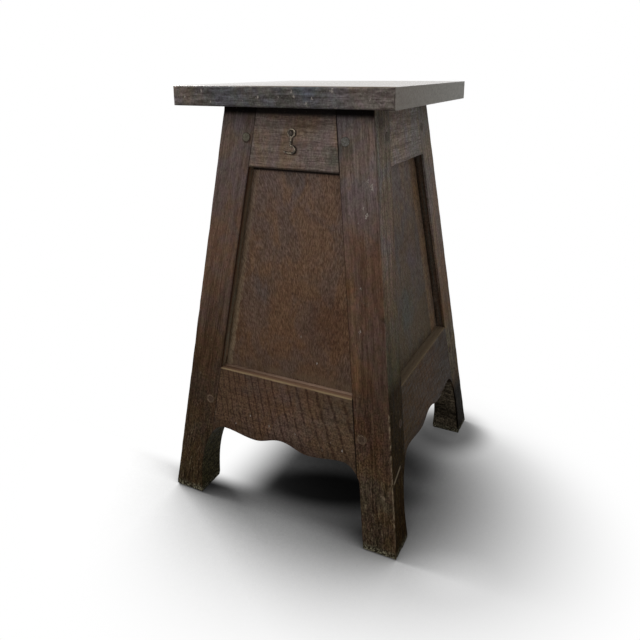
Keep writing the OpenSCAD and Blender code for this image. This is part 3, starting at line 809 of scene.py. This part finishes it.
for side, turn in (("front", 0), ("right", 90), ("back", 180), ("left", 270)):
    facing_front = turn % 180 == 0
    lean, far = (LEAN_Y, FEET_Y) if facing_front else (LEAN_X, FEET_X)
    pins = []
    for height in (FRONT_PEGS if facing_front else SIDE_PEGS):
        out = (front_joint(height) if facing_front else side_joint(height)) + PEG_IN
        for across in (-out, out):
            pin = bpy.data.objects.new("pin", peg.data.copy())
            scene.collection.objects.link(pin)
            pin.data.transform(
                Matrix.Rotation(math.radians(turn), 4, "Z")
                @ Matrix.Translation((across, lean * height - far, height))
                @ Matrix.Rotation(math.pi / 2 - math.atan(lean), 4, "X")
                @ Matrix.Rotation(height * 40 + across * 90, 4, "Z"))
            pins.append(pin)
    bpy.ops.object.select_all(action="DESELECT")
    for pin in pins:
        pin.select_set(True)
    bpy.context.view_layer.objects.active = pins[0]
    bpy.ops.object.join()
    pins[0].name = "pins_" + side
    fit_in_place(pins[0], "pegs_" + side, peg_finish)
bpy.data.objects.remove(peg)


# Cleats: two short battens of bare oak inside the front and back top rails, screwed to the rails
# and up into the planks with slotted steel wood screws, so that the board can't lift.
def aged_metal(mask, clean, aged, metallic, roughness, height, strength, relief):
    """Ends a finish as metal that goes from its clean colour to its aged one over the mask."""
    felt = mask.node("Bump", sockets={"Strength": strength, "Distance": relief, "Height": height})
    skin = mask.node("BsdfPrincipled", sockets={
        "Base Color": blend(clean, aged, mask), "Metallic": metallic, "Roughness": roughness,
        "Normal": felt})
    mask.node("OutputMaterial", sockets={0: skin})


cleat_finish, place, (x, y, z) = new_finish("cleat_wood")
bands, streaks, lines, pores = oak_grain(place, "x", 91.0)
colour = blend("8a6a48", "6e5236", bands)
colour = shaded(colour, (0.6, 0.52, 0.45), 1.2, streaks * 0.5 + lines * 0.5)
waxed(colour, streaks * 0.5 + lines * 0.3, 0.65 + lines * 0.2)
screw_finish, place, (x, y, z) = new_finish("screw_steel")
rust = rising(figure(place, 0.0015, 0.0015, "z", 4, 0.0, 95.0), 0.50, 0.70)
aged_metal(rust, "8c8578", "4a3422", 1 - rust, 0.35 + rust * 0.4, rust, 0.4, 0.0001)
for node, finish in (
        ("cleat_front", cleat_finish), ("cleat_back", cleat_finish),
        ("cleat_screws", screw_finish), ("top_screws", screw_finish)):
    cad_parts[node].material_slots[0].material = finish


# Top board: two oak planks, 29 mm thick, glued side by side with the grain from left to right.
# The upper face is waxed to a shine, the edges are chipped and splashed, and the corners soft.
BOARD_HALF, BOARD_LOW, BOARD_TOP = 0.178, 0.6707, 0.700
CORNER_ROUND, UPPER_ROUND, LOWER_ROUND = 0.0035, 0.0018, 0.0006
CUT_TO, CUT_STEP = 0.171, 0.009
top_finish, place, (x, y, z) = new_finish("top_oak")
grain = oak_grain(place, "x", 101.0)
_, streaks, lines, pores = grain
on_top = rising(z, BOARD_TOP - 0.0012, BOARD_TOP - 0.0004)
end_grain = rising(abs(x), BOARD_HALF - 0.0012, BOARD_HALF - 0.0004) * (1 - on_top)
colour = toned(x, (
    (-0.178, "5d5651"), (-0.10, "515050"), (0.06, "4c4e51"), (0.13, "615852"), (0.178, "615851")))
blotch = rising(figure(place, 0.008, 0.020, "x", 3, 0.4, 103.0), 0.38, 0.62)
colour = shaded(colour, (0.74, 0.73, 0.74), (1.18, 1.18, 1.20), blotch)
colour = grained(colour, place, grain, 105.0, 0.8)
colour = gritty(colour, place, 0.4)
rings = rising(figure(place, 0.006, 0.012, "y", 2, 0.3, 107.0), 0.38, 0.62)
# Pale end grain, painted light for the right end, away from the lamp; the left end is darkened
# below, on the lamp's side
ends_colour = toned(y, ((-0.178, "9b948e"), (0.178, "b1b0ad")))
ends_colour = shaded(ends_colour, 0.93, 1.07, rings * 0.5 + blotch * 0.5)
ends_colour = shaded(ends_colour, (0.16, 0.14, 0.125), 1.0, rising(x, -0.02, 0.02))
colour = blend(colour, gritty(ends_colour, place, 0.25), end_grain)
top_colour = shaded(tint("55432d")[:3], 0.75, 1.2, lines * 0.5 + streaks * 0.5)
colour = blend(colour, top_colour, on_top)
edge = (1 - rising(z, BOARD_LOW + 0.0004, BOARD_LOW + 0.0024)) * (1 - end_grain)
colour = blend(colour, "1f1815", edge * 0.2)
chips = rising(figure(place, 0.0030, 0.0045, "x", 2, 0.0, 109.0), 0.62, 0.72)
colour = blend(colour, "8c8480", chips * (1 - on_top) * (1 - end_grain) * 0.35)
colour = splashed(colour, place, lambda across, height: (across, -BOARD_HALF, height), (
    (-0.124, 0.693, 0.0026), (-0.155, 0.6845, 0.0030), (-0.109, 0.6775, 0.0024),
    (-0.027, 0.6845, 0.0026), (0.007, 0.6845, 0.0024), (0.0275, 0.6925, 0.0028),
    (0.031, 0.6865, 0.0030), (0.050, 0.677, 0.0034), (0.059, 0.684, 0.0026),
    (0.089, 0.6945, 0.0048), (0.095, 0.6735, 0.0026), (0.144, 0.684, 0.0026)))
shine = on_top * (1 - rising(x, -0.20, 0.05) * 0.20)
waxed(colour, streaks * 0.5 + lines * 0.3 - pores * 0.5, 0.42 + lines * 0.2, coat=shine)

for plank_side, sign in (("front", -1), ("back", 1)):
    bpy.ops.object.select_all(action="DESELECT")
    middle = (0, sign * BOARD_HALF / 2, (BOARD_LOW + BOARD_TOP) / 2)
    bpy.ops.mesh.primitive_cube_add(size=1, location=middle)
    plank = bpy.context.object
    plank.name = "plank_" + plank_side
    plank.scale = (2 * BOARD_HALF, BOARD_HALF, BOARD_TOP - BOARD_LOW)
    bpy.ops.object.transform_apply()
    bpy.ops.object.mode_set(mode="EDIT")
    bpy.context.tool_settings.mesh_select_mode = (False, True, False)
    outer = BOARD_HALF - ON_FACE
    round_over(plank, CORNER_ROUND, 4, lambda spot: abs(spot.x) > outer and abs(spot.y) > outer)
    round_over(plank, UPPER_ROUND, 3, lambda spot: (
        spot.z > BOARD_TOP - 1e-5 and abs(spot.y) > 0.001))
    round_over(plank, LOWER_ROUND, 2, lambda spot: (
        spot.z < BOARD_LOW + 1e-5 and abs(spot.y) > 0.001))
    cut_across(0, -CUT_TO, CUT_TO, CUT_STEP)
    cut_across(1, -CUT_TO, CUT_TO, CUT_STEP)
    wear_down(plank, 0.0008, 0.010, lambda spot: (
        max(abs(spot.x), abs(spot.y)) > BOARD_HALF - 0.0025 and spot.z > BOARD_TOP - 0.0025))
    bpy.ops.object.mode_set(mode="EDIT")
    wear_down(plank, 0.0003, 0.010, lambda spot: (
        max(abs(spot.x), abs(spot.y)) > BOARD_HALF - 0.0008 and spot.z < BOARD_LOW + 0.0008))
    fit_in_place(plank, "top_plank_" + plank_side, top_finish)


# Hook: a bent brass wire with a hammered eye, gone dark, that hangs loose on its screw. The wire
# is bent into a shank, a round bow and a lower limb with a thin point, and the eye is soldered on.
HOOK_X, HOOK_Z, STAND_OFF = -0.003, 0.6315, 0.0021
HOOK_PLACE = (
    Matrix.Translation(on_front(HOOK_X, HOOK_Z))
    @ Matrix.Rotation(math.pi / 2 - math.atan(LEAN_Y), 4, "X"))
EYE_MIDDLE, EYE_RIM, EYE_THICK = 0.00515, 0.00235, 0.0028
WIRE, BOW, BOW_ASIDE, BOW_DROP = 0.0019, 0.0054, 0.0014, 0.0245
BOW_START = math.radians(115)
LIMB, LIMB_TURN = 0.042, math.radians(15)
POINT, POINT_THIN = (-0.0036, 0.0014, 0), 0.45
SOLDER_GRAIN = 0.00034
brass_finish, place, (x, y, z) = new_finish("dark_brass")
patina = rising(figure(place, 0.0030, 0.0030, "z", 3, 0.0, 121.0), 0.40, 0.62)
hammered = figure(place, 0.0012, 0.0012, "z", 2, 0.0, 123.0)
aged_metal(
    patina, "6e6354", "2a2219", 0.60 - patina * 0.35, 0.45 + patina * 0.25, hammered, 0.5, 0.0003)

bpy.ops.object.select_all(action="DESELECT")
bpy.ops.mesh.primitive_torus_add(
    major_radius=EYE_MIDDLE, minor_radius=EYE_RIM, major_segments=40, minor_segments=16)
eye = bpy.context.object
eye.scale.z = EYE_THICK / EYE_RIM / 2
bpy.ops.object.transform_apply()
shank_end = (BOW_ASIDE + BOW * math.cos(BOW_START), BOW * math.sin(BOW_START) - BOW_DROP)
bpy.ops.mesh.primitive_circle_add(
    vertices=16, radius=WIRE, fill_type="NGON", location=(*shank_end, 0),
    rotation=(math.pi / 2, 0, BOW_START))
wire = bpy.context.object
bpy.ops.object.transform_apply()
bpy.ops.object.mode_set(mode="EDIT")
bpy.ops.mesh.select_all(action="SELECT")
bpy.ops.mesh.spin(
    steps=24, angle=BOW_START + math.pi / 2, center=(BOW_ASIDE, -BOW_DROP, 0), axis=(0, 0, 1))
limb_middle = LIMB - BOW_DROP - BOW
bpy.ops.mesh.spin(steps=6, angle=LIMB_TURN, center=(BOW_ASIDE, limb_middle, 0), axis=(0, 0, 1))
bpy.ops.mesh.extrude_region_move(TRANSFORM_OT_translate={"value": POINT})
point_end = (
    BOW_ASIDE - LIMB * math.sin(LIMB_TURN) + POINT[0],
    limb_middle - LIMB * math.cos(LIMB_TURN) + POINT[1], 0)
bpy.ops.transform.resize(value=(POINT_THIN,) * 3, center_override=point_end)
bpy.ops.object.mode_set(mode="OBJECT")
shank = (shank_end[0], shank_end[1] + EYE_MIDDLE)
bpy.ops.mesh.primitive_cylinder_add(
    vertices=16, radius=WIRE, depth=math.hypot(*shank),
    location=(shank[0] / 2, shank[1] / 2 - EYE_MIDDLE, 0),
    rotation=(math.pi / 2, 0, math.atan2(shank[0], -shank[1])))
bpy.ops.object.transform_apply()
hook = bpy.context.object
hook.name = "wire_hook"
for part in (eye, wire):
    part.select_set(True)
bpy.ops.object.join()
solder = hook.modifiers.new("solder", "REMESH")
solder.mode, solder.voxel_size = "VOXEL", SOLDER_GRAIN
bpy.ops.object.modifier_apply(modifier="solder")
rub = hook.modifiers.new("rub", "SMOOTH")
rub.factor, rub.iterations = 0.5, 4
bpy.ops.object.modifier_apply(modifier="rub")
bpy.ops.object.mode_set(mode="EDIT")
wear_down(hook, 0.00022, 0.0022, lambda spot: True)
hook.data.transform(HOOK_PLACE @ Matrix.Translation((0, 0, STAND_OFF)))
fit_in_place(hook, "hook", brass_finish, "hook")


# Hook's screw: a slotted round-headed screw of dark iron, turned into the front top rail just far
# enough that the hook still swings.
SCREW_HEAD, SCREW_NECK, SCREW_SHAFT = 0.0045, 0.0042, 0.0025
HEAD_EDGE = 0.0007
# Each step of the domed head and of the shaft: how far in, and how far along
HEAD_STEPS = ((0.0006, 0.0010), (0.0010, 0.0007), (0.0012, 0.0004), (0.0010, 0.00008))
SHAFT_STEPS = ((SCREW_HEAD - SCREW_SHAFT, 0), (0.00002, -0.0195), (0.0019, -0.0027))
SLOT, SLOT_UP, SLOT_TURN = (0.0009, 0.012, 0.0022), 0.0029, 0.9
iron_finish, place, (x, y, z) = new_finish("dark_iron")
rust = rising(figure(place, 0.0014, 0.0014, "z", 3, 0.0, 131.0), 0.42, 0.62)
aged_metal(rust, "3d332a", "1c120b", 0.7 - rust * 0.5, 0.45 + rust * 0.25, rust, 0.5, 0.0002)

bpy.ops.object.select_all(action="DESELECT")
bpy.ops.mesh.primitive_cylinder_add(
    vertices=32, radius=SCREW_HEAD, depth=HEAD_EDGE, location=(0, 0, SCREW_NECK + HEAD_EDGE / 2))
hook_screw = bpy.context.object
hook_screw.name = "round_head_screw"
bpy.ops.object.transform_apply()
bpy.ops.object.mode_set(mode="EDIT")
bpy.context.tool_settings.mesh_select_mode = (False, False, True)
for facing, steps in ((1, HEAD_STEPS), (-1, SHAFT_STEPS)):
    bpy.ops.mesh.select_all(action="DESELECT")
    for cap in bmesh.from_edit_mesh(hook_screw.data).faces:
        cap.select_set(cap.normal.z * facing > 0.9)
    bmesh.update_edit_mesh(hook_screw.data)
    for inwards, along in steps:
        bpy.ops.mesh.inset(thickness=inwards)
        bpy.ops.transform.translate(value=(0, 0, along))
bpy.ops.object.mode_set(mode="OBJECT")
bpy.ops.mesh.primitive_cube_add(
    size=1, location=(0, 0, SCREW_NECK + SLOT_UP), rotation=(0, 0, SLOT_TURN))
blade = bpy.context.object
blade.scale = SLOT
bpy.ops.object.select_all(action="DESELECT")
hook_screw.select_set(True)
bpy.context.view_layer.objects.active = hook_screw
slot = hook_screw.modifiers.new("slot", "BOOLEAN")
slot.operation, slot.object, slot.solver = "DIFFERENCE", blade, "EXACT"
bpy.ops.object.modifier_apply(modifier="slot")
bpy.data.objects.remove(blade)
hook_screw.data.transform(HOOK_PLACE)
fit_in_place(hook_screw, "hook_screw", iron_finish)
